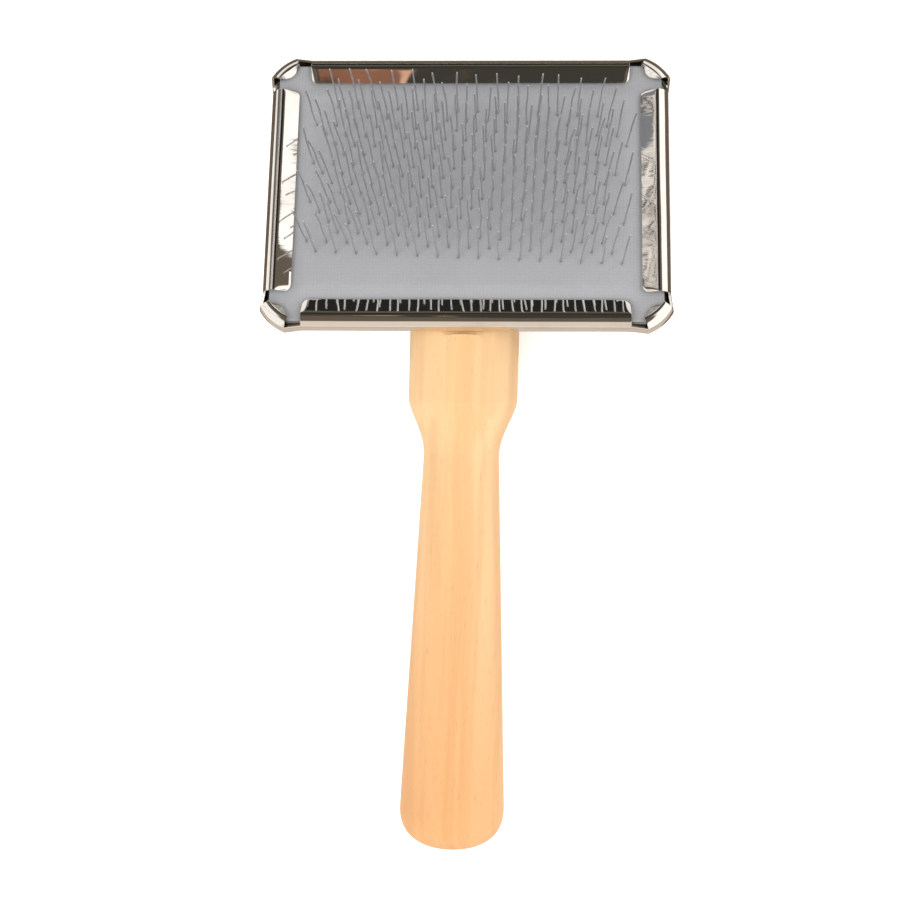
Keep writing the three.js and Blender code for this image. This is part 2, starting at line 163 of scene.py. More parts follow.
def finish_piece(piece, material):
    piece.data.materials.append(material)


def smoothstep(low, high, value):
    share = np.clip((value - low) / (high - low), 0, 1)
    return share * share * (3 - 2 * share)


# ---------------------------------------------------------------- materials


# Linear red, green, blue and alpha.
NICKEL = (0.7, 0.66, 0.61, 1)
SMUDGED_NICKEL = (0.62, 0.58, 0.53, 1)
RUBBER_DARK = (0.262, 0.265, 0.272, 1)
RUBBER_PALE = (0.298, 0.301, 0.308, 1)
RUBBER_GRAIN = (0.23, 0.235, 0.25, 1)
RUBBER_WEAVE = (0.45, 0.46, 0.48, 1)
WIRE_DARK = (0.6, 0.605, 0.62, 1)
WIRE_PALE = (0.74, 0.74, 0.75, 1)
BEECH_DARK = (0.7, 0.42, 0.215, 1)
BEECH_PALE = (0.74, 0.47, 0.255, 1)
BEECH_RING = (0.62, 0.34, 0.155, 1)
BEECH_FLECK = (0.5, 0.255, 0.11, 1)
BEECH_PORE = (0.45, 0.23, 0.1, 1)
VARNISH_AT_BUTT = (0.82, 0.73, 0.61, 1)
VARNISH_AT_TRAY = (0.89, 0.95, 0.94, 1)
CLOTH_DARK = (0.5, 0.46, 0.38, 1)
CLOTH_PALE = (0.68, 0.64, 0.55, 1)
ZINC_STAIN = (0.62, 0.52, 0.24, 1)
ZINC = (0.72, 0.66, 0.46, 1)


class Nodes:
    """Adds nodes to a tree: each input is a number, a colour or another node's output."""

    def __init__(self, tree):
        self.tree = tree
        self.tree.nodes.clear()

    def add(self, kind, inputs=None, **settings):
        node = self.tree.nodes.new(kind)
        for key, value in settings.items():
            setattr(node, key, value)
        for key, value in (inputs or {}).items():
            if isinstance(value, bpy.types.NodeSocket):
                self.tree.links.new(value, node.inputs[key])
            else:
                node.inputs[key].default_value = value
        return node

    def math(self, operation, *values):
        return self.add(
            "ShaderNodeMath", dict(enumerate(values)), operation=operation
        ).outputs[0]

    def smooth(self, value, low, high, to_low=0.0, to_high=1.0):
        node = self.add(
            "ShaderNodeMapRange",
            {
                "Value": value,
                "From Min": low,
                "From Max": high,
                "To Min": to_low,
                "To Max": to_high,
            },
            interpolation_type="SMOOTHSTEP",
        )
        return node.outputs["Result"]

    def between(self, value, low, high, soft):
        rise = self.smooth(value, low - soft, low + soft)
        fall = self.smooth(value, high - soft, high + soft, 1.0, 0.0)
        return self.math("MULTIPLY", rise, fall)

    def mix(self, share, a, b, blend="MIX"):
        node = self.add("ShaderNodeMix", data_type="RGBA", blend_type=blend)
        for index, value in ((0, share), (6, a), (7, b)):
            if isinstance(value, bpy.types.NodeSocket):
                self.tree.links.new(value, node.inputs[index])
            else:
                node.inputs[index].default_value = value
        return node.outputs[2]

    def noise(self, vector, scale, detail=3.0, roughness=0.5, distortion=0.0):
        node = self.add(
            "ShaderNodeTexNoise",
            {
                "Vector": vector,
                "Scale": scale,
                "Detail": detail,
                "Roughness": roughness,
                "Distortion": distortion,
            },
        )
        return node.outputs["Fac"]

    def weave(self, vector, **wave):
        """Bands of waves across and along, multiplied."""
        bands = [
            self.add(
                "ShaderNodeTexWave", {"Vector": vector, **wave}, bands_direction=way
            ).outputs["Fac"]
            for way in "XY"
        ]
        return self.math("MULTIPLY", *bands)

    def stretched(self, vector, x, y, z):
        return self.add(
            "ShaderNodeMapping", {"Vector": vector, "Scale": (x, y, z)}
        ).outputs["Vector"]

    def bump(self, height, strength, distance, normal=None):
        inputs = {"Height": height, "Strength": strength, "Distance": distance}
        if normal is not None:
            inputs["Normal"] = normal
        return self.add("ShaderNodeBump", inputs).outputs["Normal"]


def new_material(name):
    """A material, its nodes, its principled shader and the place within the piece."""
    material = bpy.data.materials.new(name)
    material.use_nodes = True
    nodes = Nodes(material.node_tree)
    shader = nodes.add("ShaderNodeBsdfPrincipled")
    nodes.add("ShaderNodeOutputMaterial", {"Surface": shader.outputs["BSDF"]})
    place = nodes.add("ShaderNodeTexCoord").outputs["Object"]
    return material, nodes, shader, place


def connect(nodes, value, shader, name):
    if isinstance(value, bpy.types.NodeSocket):
        nodes.tree.links.new(value, shader.inputs[name])
    else:
        shader.inputs[name].default_value = value


def grey(value):
    return (value, value, value, 1)


def tray_material():
    material, nodes, shader, place = new_material("nickel_steel")
    smudge = nodes.noise(place, scale=70, detail=4, roughness=0.6)
    wipe = nodes.noise(nodes.stretched(place, 60, 900, 60), scale=1, detail=2)
    tint = nodes.mix(nodes.smooth(smudge, 0.45, 0.75), NICKEL, SMUDGED_NICKEL)
    connect(nodes, tint, shader, "Base Color")
    connect(nodes, 1.0, shader, "Metallic")
    rough = nodes.math(
        "ADD",
        nodes.smooth(smudge, 0.5, 0.8, 0.02, 0.06),
        nodes.math("MULTIPLY", wipe, 0.03),
    )
    connect(nodes, rough, shader, "Roughness")
    wave = nodes.bump(nodes.noise(place, scale=45, detail=1), strength=0.25, distance=0.0012)
    connect(nodes, nodes.bump(wipe, strength=0.05, distance=0.0001, normal=wave), shader, "Normal")
    return material


def rubber_material():
    material, nodes, shader, place = new_material("grey_rubber")
    grain = nodes.noise(place, scale=2400, detail=2, roughness=0.7)
    blotch = nodes.noise(place, scale=90, detail=3, roughness=0.6)
    weave = nodes.weave(place, Scale=420.0, Distortion=0.6, Detail=1.0)
    base = nodes.mix(blotch, RUBBER_DARK, RUBBER_PALE)
    base = nodes.mix(nodes.smooth(grain, 0.3, 0.7, 0.0, 0.3), base, RUBBER_GRAIN)
    base = nodes.mix(nodes.math("MULTIPLY", weave, 0.12), base, RUBBER_WEAVE)
    # Painted shade: the rubber is darkened almost to black at the holes where the pins go in,
    # standing in for the shade inside the holes.
    shade_in_hole = nodes.add("ShaderNodeAttribute", attribute_name="painted_hole_shade").outputs["Fac"]
    base = nodes.mix(nodes.smooth(shade_in_hole, 0.35, 0.95, 0.0, 0.75), base, grey(0.05))
    connect(nodes, base, shader, "Base Color")
    connect(nodes, nodes.smooth(grain, 0.2, 0.8, 0.62, 0.8), shader, "Roughness")
    fine = nodes.bump(nodes.math("ADD", weave, grain), strength=0.35, distance=0.00006)
    connect(nodes, nodes.bump(blotch, strength=0.2, distance=0.0004, normal=fine), shader, "Normal")
    return material


def wire_material():
    material, nodes, shader, place = new_material("pin_wire_steel")
    drawn = nodes.noise(nodes.stretched(place, 4000, 4000, 300), scale=1, detail=2)
    tint = nodes.mix(drawn, WIRE_DARK, WIRE_PALE)
    connect(nodes, tint, shader, "Base Color")
    connect(nodes, 1.0, shader, "Metallic")
    connect(nodes, nodes.smooth(drawn, 0.2, 0.8, 0.25, 0.4), shader, "Roughness")
    connect(nodes, nodes.bump(drawn, strength=0.2, distance=0.00003), shader, "Normal")
    return material


def beech_material():
    material, nodes, shader, place = new_material("varnished_beech")
    bend = nodes.noise(nodes.stretched(place, 26, 9, 26), scale=1, detail=2)
    aside = nodes.math("MULTIPLY", bend, 0.006)
    shift = nodes.add("ShaderNodeCombineXYZ", {"X": aside}).outputs["Vector"]
    warped = nodes.add(
        "ShaderNodeVectorMath", {0: place, 1: shift}, operation="ADD"
    ).outputs["Vector"]
    along_grain = nodes.stretched(warped, 260, 7, 120)
    rings = nodes.noise(along_grain, scale=1, detail=4, roughness=0.55, distortion=0.3)
    broad = nodes.noise(nodes.stretched(warped, 60, 5, 60), scale=1, detail=3)
    flecks = nodes.noise(nodes.stretched(place, 2600, 260, 2600), scale=1, detail=2, roughness=0.6)
    pores = nodes.noise(nodes.stretched(place, 7000, 420, 7000), scale=1, detail=2, roughness=0.5)
    base = nodes.mix(nodes.smooth(broad, 0.3, 0.7), BEECH_DARK, BEECH_PALE)
    base = nodes.mix(nodes.smooth(rings, 0.42, 0.62, 0.0, 0.55), base, BEECH_RING)
    base = nodes.mix(nodes.smooth(flecks, 0.63, 0.72, 0.0, 0.4), base, BEECH_FLECK)
    base = nodes.mix(nodes.smooth(pores, 0.6, 0.75, 0.0, 0.2), base, BEECH_PORE)
    along = nodes.add("ShaderNodeSeparateXYZ", {"Vector": place}).outputs["Y"]
    depth = nodes.smooth(along, butt_y * MM, tray_edge_y * MM)
    varnish = nodes.mix(depth, VARNISH_AT_BUTT, VARNISH_AT_TRAY)
    base = nodes.mix(1.0, base, varnish, "MULTIPLY")
    connect(nodes, base, shader, "Base Color")
    connect(nodes, nodes.smooth(rings, 0.2, 0.8, 0.42, 0.52), shader, "Roughness")
    connect(nodes, 0.3, shader, "Specular IOR Level")
    connect(nodes, 0.06, shader, "Coat Weight")
    connect(nodes, 0.3, shader, "Coat Roughness")
    grain = nodes.bump(flecks, strength=0.12, distance=0.00005)
    connect(nodes, nodes.bump(rings, strength=0.1, distance=0.0001, normal=grain), shader, "Normal")
    return material


def fabric_material():
    material, nodes, shader, place = new_material("card_cloth")
    weave = nodes.weave(place, Scale=300.0)
    connect(nodes, nodes.mix(weave, CLOTH_DARK, CLOTH_PALE), shader, "Base Color")
    connect(nodes, 0.9, shader, "Roughness")
    connect(nodes, nodes.bump(weave, strength=0.5, distance=0.0001), shader, "Normal")
    return material


def felt_material():
    material, nodes, shader, place = new_material("grey_felt")
    fibres = nodes.noise(place, scale=1500, detail=5, roughness=0.7, distortion=1.5)
    connect(nodes, nodes.mix(fibres, grey(0.14), grey(0.34)), shader, "Base Color")
    connect(nodes, 0.95, shader, "Roughness")
    connect(nodes, nodes.bump(fibres, strength=0.6, distance=0.0002), shader, "Normal")
    return material


def screw_material():
    material, nodes, shader, place = new_material("zinc_screw")
    stain = nodes.noise(place, scale=900, detail=4, roughness=0.6)
    connect(nodes, nodes.mix(stain, ZINC_STAIN, ZINC), shader, "Base Color")
    connect(nodes, 1.0, shader, "Metallic")
    connect(nodes, nodes.smooth(stain, 0.3, 0.7, 0.28, 0.45), shader, "Roughness")
    connect(nodes, nodes.bump(stain, strength=0.1, distance=0.0001), shader, "Normal")
    return material


# ---------------------------------------------------------------- tray


def spaced(length, fine, coarse):
    """Distances along a length, close together near both ends."""
    ends = [d for d in fine if d < length / 2]
    middle = np.linspace(
        ends[-1],
        length - ends[-1],
        max(2, int((length - 2 * ends[-1]) / coarse)) + 1,
    )
    return [*ends[:-1], *middle, *[length - d for d in ends[-2::-1]]]


FLANGE_CORNER = 1.6
FLANGE_STEP = 1.1
FLANGE_ENDS = [0, 0.06, 0.15, 0.3, 0.5, 0.75, 1.05, 1.35, 1.6, 2.1, 2.8, 3.6]
TAB_STATIONS = 33
BACK_BEND_POINTS = 8
LOW_WALL_POINTS = 6
FOLD_POINTS = 18
SLOPE_POINTS = 7
BACK_RING_SHARE = 0.9
LONG_RIPPLE = 0.035
SHORT_RIPPLE = 0.02
TRAY_BEVEL = 0.1


def flange_run(start, end, inward):
    """Stations along a flange: place, inward direction and how much of the slope is left.

    Less is left near either end, where the free edge has a rounded corner.
    """
    start, end, inward = Vector(start), Vector(end), Vector(inward)
    length = (end - start).length
    slope = FLANGE_REACH - FOLD_RADIUS
    stations = []
    for along in spaced(length, FLANGE_ENDS, FLANGE_STEP):
        gap = min(along, length - along)
        lost = 0.0
        if gap < FLANGE_CORNER:
            lost = FLANGE_CORNER - math.sqrt(
                FLANGE_CORNER**2 - (FLANGE_CORNER - gap) ** 2
            )
        stations.append((start.lerp(end, along / length), inward, 1 - lost / slope))
    return stations


def tab_run(sx, sy):
    """Stations along a corner tab, from the head's side to its end."""
    start = Vector((half_width + TAB_PROUD, half_length - TAB_CUT_Y))
    end = Vector((half_width - TAB_CUT_X, half_length + TAB_PROUD))
    chord = end - start
    outward = Vector((chord.y, -chord.x)).normalized()
    stations = []
    for along in np.linspace(0, 1, TAB_STATIONS):
        bow = 4 * along * (1 - along) * TAB_BULGE
        slant = 4 * (1 - 2 * along) * TAB_BULGE / chord.length
        place = start + chord * along + outward * bow
        normal = (outward - chord.normalized() * slant).normalized()
        share = TAB_REACH_END + (TAB_REACH_MIDDLE - TAB_REACH_END) * math.sin(
            math.pi * along
        )
        stations.append(
            (
                Vector((sx * place.x, sy * place.y)),
                Vector((-sx * normal.x, -sy * normal.y)),
                share,
            )
        )
    return stations


def tray_runs():
    """Flanges and tabs in turn, anticlockwise from the right-hand flange."""
    wide, long, side, end = half_width, half_length, side_flange_half, end_flange_half
    return [
        flange_run((wide, -side), (wide, side), (-1, 0)),
        tab_run(1, 1),
        flange_run((end, long), (-end, long), (0, -1)),
        tab_run(-1, 1)[::-1],
        flange_run((-wide, side), (-wide, -side), (1, 0)),
        tab_run(-1, -1),
        flange_run((-end, -long), (end, -long), (0, 1)),
        tab_run(1, -1)[::-1],
    ]


def tray_profile():
    """The sheet's outer face, from the back to the free edge, as (inset, height).

    Also gives how many of its points are below the notches.
    """
    profile = []
    for turn in np.linspace(0, math.pi / 2, BACK_BEND_POINTS):
        profile.append(
            (
                BACK_BEND_RADIUS * (1 - math.sin(turn)),
                BACK_BEND_RADIUS * (1 - math.cos(turn)),
            )
        )
    fold_height = tray_depth - FOLD_RADIUS
    cut_turn = math.asin((low_wall - fold_height) / FOLD_RADIUS)
    turns = [
        *np.linspace(0, cut_turn, LOW_WALL_POINTS),
        *np.linspace(cut_turn, math.pi / 2 + FLANGE_SLOPE, FOLD_POINTS)[1:],
    ]
    low_count = len(profile) + LOW_WALL_POINTS
    for turn in turns:
        profile.append(
            (
                FOLD_RADIUS * (1 - math.cos(turn)),
                fold_height + FOLD_RADIUS * math.sin(turn),
            )
        )
    inset, height = profile[-1]
    edge = FLANGE_REACH - SHEET * math.sin(FLANGE_SLOPE)
    for share in np.linspace(0, 1, SLOPE_POINTS)[1:]:
        run = (edge - inset) * share
        profile.append((inset + run, height - run * math.tan(FLANGE_SLOPE)))
    return profile, low_count


def flange_ripple(spot):
    """The flanges' soft waviness: a long wave and a shorter one."""
    long_wave = math.sin(spot.x * 0.21 + spot.y * 0.17 + 0.7)
    short_wave = math.sin(spot.x * 0.47 - spot.y * 0.39)
    return LONG_RIPPLE * long_wave + SHORT_RIPPLE * short_wave


def tray_mesh():
    """The sheet's outer face: the profile swept through every station, and the flat back."""
    profile, low_count = tray_profile()
    columns, run_ends = [], set()
    for run in tray_runs():
        columns.extend(run)
        run_ends.add(len(columns))
    points, faces = [], []
    steps = len(profile)
    for place, inward, share in columns:
        for inset, height in profile:
            wall = min(inset, FOLD_RADIUS)
            reach = wall + (inset - wall) * share
            spot = place + inward * reach
            slope = max(0.0, inset - FOLD_RADIUS) / (FLANGE_REACH - FOLD_RADIUS)
            points.append((spot.x, spot.y, height + flange_ripple(spot) * slope))
    count = len(columns)

    # Between one run and the next, only the wall below the notches is joined.
    for i in range(count):
        j = (i + 1) % count
        top = low_count - 1 if i + 1 in run_ends else steps - 1
        for k in range(top):
            faces.append(
                (i * steps + k, j * steps + k, j * steps + k + 1, i * steps + k + 1)
            )
    first = len(points)
    for place, inward, _ in columns:
        spot = (place + inward * BACK_BEND_RADIUS) * BACK_RING_SHARE
        points.append((spot.x, spot.y, 0))
    for i in range(count):
        j = (i + 1) % count
        faces.append((first + i, first + j, j * steps, i * steps))
    faces.append(tuple(first + i for i in reversed(range(count))))
    return points, faces


def make_tray():
    points, faces = tray_mesh()
    tray = make_piece("tray", points, faces, "brush", HEAD)
    add_modifier(
        tray, "SOLIDIFY", thickness=SHEET * MM, offset=-1, use_even_offset=True
    )
    add_modifier(
        tray,
        "BEVEL",
        width=TRAY_BEVEL * MM,
        segments=2,
        limit_method="ANGLE",
        angle_limit=math.radians(50),
    )
    add_modifier(tray, "WEIGHTED_NORMAL", keep_sharp=True)
    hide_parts("head_tray")
    finish_piece(tray, tray_material())


# ---------------------------------------------------------------- pins


WIRE_LOOK_RADIUS = 0.17
WIRE_SIDES = 8
POINT_SHARE = 0.55
KNEE_ROUNDING = 0.9
STAPLE_CORNER = 0.5
PIN_SEED = 7

# How the pins differ: standard deviations in degrees and millimetres.
ASIDE_NOISE = 1.3
LEAN_NOISE = 1.2
KNEE_HEIGHT_NOISE = 0.2
BEND_NOISE = 2.5
TIP_ASIDE_NOISE = 2.2
BOW_NOISE_ACROSS = 0.1
BOW_NOISE_ALONG = 0.08


def row_stagger(row):
    return (-1 if row % 2 else 1) * column_pitch / 4


def row_places(row):
    """The places of a row's pins across the card: some rows leave out the pin at either end."""
    left_out = row // 2 % 2
    return [
        k * column_pitch - field_half_width + row_stagger(row)
        for k in range(left_out, PIN_COLUMNS - left_out)
    ]


def row_y(row):
    return row * row_pitch - field_half_length


def leg_path(rng, x, y):
    """A pin's centre line from its point down to the card."""
    across, along = x / field_half_width, y / field_half_length
    aside = SPLAY_ACROSS * across + math.radians(rng.normal(0, ASIDE_NOISE))
    lean = PIN_LEAN + SPLAY_ALONG * along + math.radians(rng.normal(0, LEAN_NOISE))
    knee_height = pad_edge + CROWN + KNEE_HEIGHT + rng.normal(0, KNEE_HEIGHT_NOISE)
    bend = KNEE_BEND + math.radians(rng.normal(0, BEND_NOISE))
    tip_aside = aside + math.radians(across + rng.normal(0, TIP_ASIDE_NOISE))
    bow = Vector((rng.normal(0, BOW_NOISE_ACROSS), rng.normal(0, BOW_NOISE_ALONG), 0))
    root = Vector((x, y, crown_bar_height))
    leg = Vector((math.tan(aside), math.tan(lean), 1)) * (
        knee_height - crown_bar_height
    )
    tip = (
        Vector((math.tan(tip_aside), math.tan(lean - bend), 1)).normalized()
        * TIP_LENGTH
    )
    knee = root + leg
    path = []
    for share in (0.35, 0.55, 0.75, 0.92):
        swell = math.sin(math.pi * share)
        path.append(root + leg * share + bow * swell)
    start = knee - leg.normalized() * KNEE_ROUNDING
    end = knee + tip.normalized() * KNEE_ROUNDING
    for share in (0.15, 0.5, 0.85):
        near = start.lerp(knee, share)
        far = knee.lerp(end, share)
        path.append(near.lerp(far, share))
    path.extend(knee + tip * share for share in (0.6, 0.95, 1))
    return path[::-1]


def staple_path(rng, x1, x2, y):
    """One staple: a pin, the crown under the card and the next pin."""
    first, second = leg_path(rng, x1, y), leg_path(rng, x2, y)
    low, corner = crown_bar_height, STAPLE_CORNER
    bend = ((0, 2 * corner), (0.03, corner), (0.3 * corner, 0.3 * corner), (corner, 0))
    crown = [Vector((x1 + inset, y, low + rise)) for inset, rise in bend]
    crown += [Vector((x2 - inset, y, low + rise)) for inset, rise in bend[::-1]]
    return first + crown + second[::-1]


def tube(path, radius, sides, points, faces):
    """Adds a round tube along a path, with narrowed ends."""
    first = len(points)
    side = Vector((0, 1, 0))
    last = len(path) - 1
    for i, spot in enumerate(path):
        ahead = path[min(i + 1, last)] - path[max(i - 1, 0)]
        ahead.normalize()
        side = (side - ahead * side.dot(ahead)).normalized()
        other = ahead.cross(side)
        wide = radius * (POINT_SHARE if i in (0, last) else 1.0)
        for k in range(sides):
            turn = 2 * math.pi * k / sides
            points.append(
                spot + (side * math.cos(turn) + other * math.sin(turn)) * wide
            )
    for i in range(last):
        for k in range(sides):
            a, b = first + i * sides + k, first + i * sides + (k + 1) % sides
            faces.append((a, b, b + sides, a + sides))
    faces.append(tuple(first + k for k in reversed(range(sides))))
    faces.append(tuple(first + last * sides + k for k in range(sides)))


def make_pin_rows():
    rng = np.random.default_rng(PIN_SEED)
    wire = wire_material()
    for row in range(PIN_ROWS):
        points, faces = [], []
        places = row_places(row)
        for x1, x2 in zip(places[::2], places[1::2]):
            path = staple_path(rng, x1, x2, row_y(row))
            tube(path, WIRE_LOOK_RADIUS, WIRE_SIDES, points, faces)
        number = f"{row + 1:02d}"
        pins = make_piece(f"pins_{number}", points, faces, f"row_{number}", CARD)
        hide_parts(f"pin_row_{number}")
        finish_piece(pins, wire)


# ---------------------------------------------------------------- rubber face

PAD_STEP = 0.42
CROWN_START = 5.9
CROWN_END = 9.9
PAD_RIPPLE = 0.03
# How far the painted shade at each pin's hole spreads, in millimetres.
HOLE_SHADE_RADIUS = 0.42
DIMPLE_RADIUS = 0.5
DIMPLE_DEPTH = 0.16
LIP_RADIUS = 0.85
LIP_WIDTH = 0.3
LIP_HEIGHT = 0.04
DIMPLE_REACH = 2


def corner_cut():
    """How much of the pad's outline its corner cuts take, across and along."""
    inset = SHEET + PAD_SIDE_GAP
    slant = math.hypot(TAB_CUT_X, TAB_CUT_Y)
    shorter = 1 - inset * (TAB_CUT_X + TAB_CUT_Y - slant) / (TAB_CUT_X * TAB_CUT_Y)
    return TAB_CUT_X * shorter, TAB_CUT_Y * shorter


def pin_spots():
    """Where the pins come out of the rubber, in the head's frame."""
    spots = []
    rise = pad_edge + CROWN - crown_bar_height
    for row in range(PIN_ROWS):
        y = row_y(row)
        drift_y = math.tan(SPLAY_ALONG * y / field_half_length) * rise
        for x in row_places(row):
            drift_x = math.tan(SPLAY_ACROSS * x / field_half_width) * rise
            spots.append(CARD_TURN @ Vector((x + drift_x, y + drift_y, 0)))
    return np.array([(s.x, s.y) for s in spots])


def pad_height(x, y):
    """The height of the rubber's upper face, crowned and a little uneven."""
    side = smoothstep(CROWN_START, CROWN_END, half_width - np.abs(x))
    end = smoothstep(CROWN_START, CROWN_END, half_length - np.abs(y))
    swell = CROWN * side * end
    ripple = PAD_RIPPLE * np.sin(x * 0.31 + 1.1) * np.sin(y * 0.37) * side * end
    return pad_edge + swell - np.abs(ripple)


def make_pad():
    edge_x = half_width - SHEET - PAD_SIDE_GAP
    edge_y = half_length - SHEET - PAD_SIDE_GAP
    cut_x, cut_y = corner_cut()
    middle = np.linspace(
        cut_x - edge_x, edge_x - cut_x, int(2 * (edge_x - cut_x) / PAD_STEP)
    )
    corner = np.linspace(edge_x - cut_x, edge_x, int(cut_x / PAD_STEP) + 1)[1:]
    xs = np.concatenate([-corner[::-1], middle, corner])
    shares = np.linspace(-1, 1, int(2 * edge_y / PAD_STEP))
    reach = edge_y - cut_y * np.clip((np.abs(xs) - (edge_x - cut_x)) / cut_x, 0, 1)
    x = np.repeat(xs, len(shares))
    y = (reach[:, None] * shares[None, :]).ravel()
    z = pad_height(x, y)
    # A mask for the painted shade at each pin's hole, kept on the rubber's points.
    painted_hole_shade = np.zeros(len(x))
    for sx, sy in pin_spots():
        close = (np.abs(x - sx) < DIMPLE_REACH) & (np.abs(y - sy) < DIMPLE_REACH)
        near = np.flatnonzero(close)
        away = np.hypot(x[near] - sx, y[near] - sy)
        shade_in_hole = np.exp(-((away / HOLE_SHADE_RADIUS) ** 2))
        painted_hole_shade[near] = np.maximum(painted_hole_shade[near], shade_in_hole)
        z[near] -= DIMPLE_DEPTH * np.exp(-((away / DIMPLE_RADIUS) ** 2))
        z[near] += LIP_HEIGHT * np.exp(-(((away - LIP_RADIUS) / LIP_WIDTH) ** 2))
    rows = len(shares)
    faces = [
        (
            i * rows + j,
            (i + 1) * rows + j,
            (i + 1) * rows + j + 1,
            i * rows + j + 1,
        )
        for i in range(len(xs) - 1)
        for j in range(rows - 1)
    ]
    pad = make_piece(
        "rubber_face", np.stack([x, y, z], axis=1), faces, "brush", HEAD
    )
    data = pad.data.attributes.new("painted_hole_shade", "FLOAT", "POINT").data
    data.foreach_set("value", painted_hole_shade.astype(np.float32))
    add_modifier(pad, "SOLIDIFY", thickness=RUBBER_THICKNESS * MM, offset=-1)
    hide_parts("card_rubber_face")
    finish_piece(pad, rubber_material())


# ---------------------------------------------------------------- handle


HANDLE_SIDES = 144
SEAT_END_RINGS = 18
COLLAR_RINGS = 24
SHOULDER_RINGS = 26
GRIP_RINGS = 40
BUTT_RINGS = 30
COLLAR_START = -26
COLLAR_END_MARGIN = 1
HANDLE_BEVEL = 0.25


def rounded_end(radius, share):
    """The radius at a share of the way to the tip of a rounded end."""
    return radius * (1 - share**BUTT_POWER) ** (1 / BUTT_POWER)


def handle_profile():
    """The turned profile as (radius, distance along the axis), from under the tray to the butt."""
    profile = []
    for share in np.sin(np.linspace(math.pi / 2, 0, SEAT_END_RINGS)):
        profile.append(
            (
                rounded_end(COLLAR_RADIUS, share),
                SEAT_END_LENGTH * (1 - share) - SEAT_REACH,
            )
        )
    collar_end = COLLAR_LENGTH - COLLAR_END_MARGIN
    for along in np.linspace(COLLAR_START, collar_end, COLLAR_RINGS):
        profile.append((COLLAR_RADIUS, along))
    for share in np.linspace(0, 1, SHOULDER_RINGS):
        fall = (1 + math.cos(math.pi * share**SHOULDER_POWER)) / 2
        profile.append(
            (
                NECK_RADIUS + (COLLAR_RADIUS - NECK_RADIUS) * fall,
                COLLAR_LENGTH + SHOULDER_LENGTH * share,
            )
        )
    start, end = COLLAR_LENGTH + SHOULDER_LENGTH, HANDLE_REACH - BUTT_LENGTH
    for share in np.linspace(0, 1, GRIP_RINGS)[1:-1]:
        profile.append(
            (
                NECK_RADIUS + (GRIP_RADIUS - NECK_RADIUS) * share,
                start + (end - start) * share,
            )
        )
    for share in np.sin(np.linspace(0, math.pi / 2, BUTT_RINGS)):
        profile.append(
            (
                rounded_end(GRIP_RADIUS, share),
                HANDLE_REACH - BUTT_LENGTH * (1 - share),
            )
        )
    return profile


def cut_seat(handle):
    """Cuts away what would lie inside the tray, up to the tray's near edge."""
    bpy.ops.mesh.primitive_cube_add(size=2)
    block = bpy.context.object
    reach, near = 2 * HEAD_LENGTH, -half_length - GAP
    block.data.transform(
        HEAD
        @ Matrix.Translation(Vector((0, near + reach, reach - GAP)) * MM)
        @ Matrix.Scale(reach * MM, 4)
    )
    add_modifier(handle, "BOOLEAN", object=block, operation="DIFFERENCE", solver="EXACT")
    bpy.context.view_layer.update()
    evaluated = handle.evaluated_get(bpy.context.evaluated_depsgraph_get())
    handle.data = bpy.data.meshes.new_from_object(evaluated)
    handle.modifiers.clear()
    bpy.data.objects.remove(block)
    handle.data.shade_smooth()


def make_handle():
    points, faces = [], []

    # The profile's two ends lie on the axis: flat caps close the body there instead.
    profile = handle_profile()[1:-1]
    for radius, along in profile:
        for k in range(HANDLE_SIDES):
            turn = 2 * math.pi * k / HANDLE_SIDES
            points.append(
                (
                    radius * math.cos(turn),
                    tray_edge_y - along,
                    COLLAR_RADIUS + radius * math.sin(turn),
                )
            )
    rings = len(profile)
    for i in range(rings - 1):
        for k in range(HANDLE_SIDES):
            a = i * HANDLE_SIDES + k
            b = i * HANDLE_SIDES + (k + 1) % HANDLE_SIDES
            faces.append((a, a + HANDLE_SIDES, b + HANDLE_SIDES, b))
    for ring, step in ((0, 1), (rings - 1, -1)):
        faces.append(
            tuple(ring * HANDLE_SIDES + k for k in range(HANDLE_SIDES))[::step]
        )
    handle = make_piece("wooden_handle", points, faces, "brush")
    cut_seat(handle)
    add_modifier(
        handle,
        "BEVEL",
        width=HANDLE_BEVEL * MM,
        segments=3,
        limit_method="ANGLE",
        angle_limit=math.radians(30),
    )
    add_modifier(handle, "WEIGHTED_NORMAL", keep_sharp=True)
    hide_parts("handle")
    finish_piece(handle, beech_material())


# ---------------------------------------------------------------- hidden pieces


def dress_hidden_nodes():
    for names, material in (
        (["card_fabric"], fabric_material()),
        (["felt_cushion"], felt_material()),
        ([f"tray_screw_{i}" for i in (1, 2, 3)], screw_material()),
    ):
        for name in names:
            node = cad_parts[name]
            node.data.materials.clear()
            node.data.materials.append(material)


# ---------------------------------------------------------------- studio

FLOOR_HALF = 3.0
BACKDROP_RADIUS = 2.9
CARD_HALF = 0.3
CARD_HEIGHT = 0.2
SURROUND = (0.17, 0.145, 0.115, 1)
CAMERA_PLACE = (0.0221, 0.01925, 0.4884)
CAMERA_TURN = (-2.211, 2.825, 1.553)


def add_to_scene(name, data):
    thing = bpy.data.objects.new(name, data)
    bpy.context.scene.collection.objects.link(thing)
    return thing


def stage_material(thing, name):
    """Gives a studio piece a material of its own, and returns its nodes."""
    material = bpy.data.materials.new(name)
    material.use_nodes = True
    thing.data.materials.append(material)
    return Nodes(material.node_tree)


def make_glow(thing, name, colour):
    """Makes a studio piece shine evenly in one colour."""
    nodes = stage_material(thing, name)
    glow = nodes.add("ShaderNodeEmission", {"Color": colour, "Strength": 1.0})
    nodes.add("ShaderNodeOutputMaterial", {"Surface": glow.outputs["Emission"]})


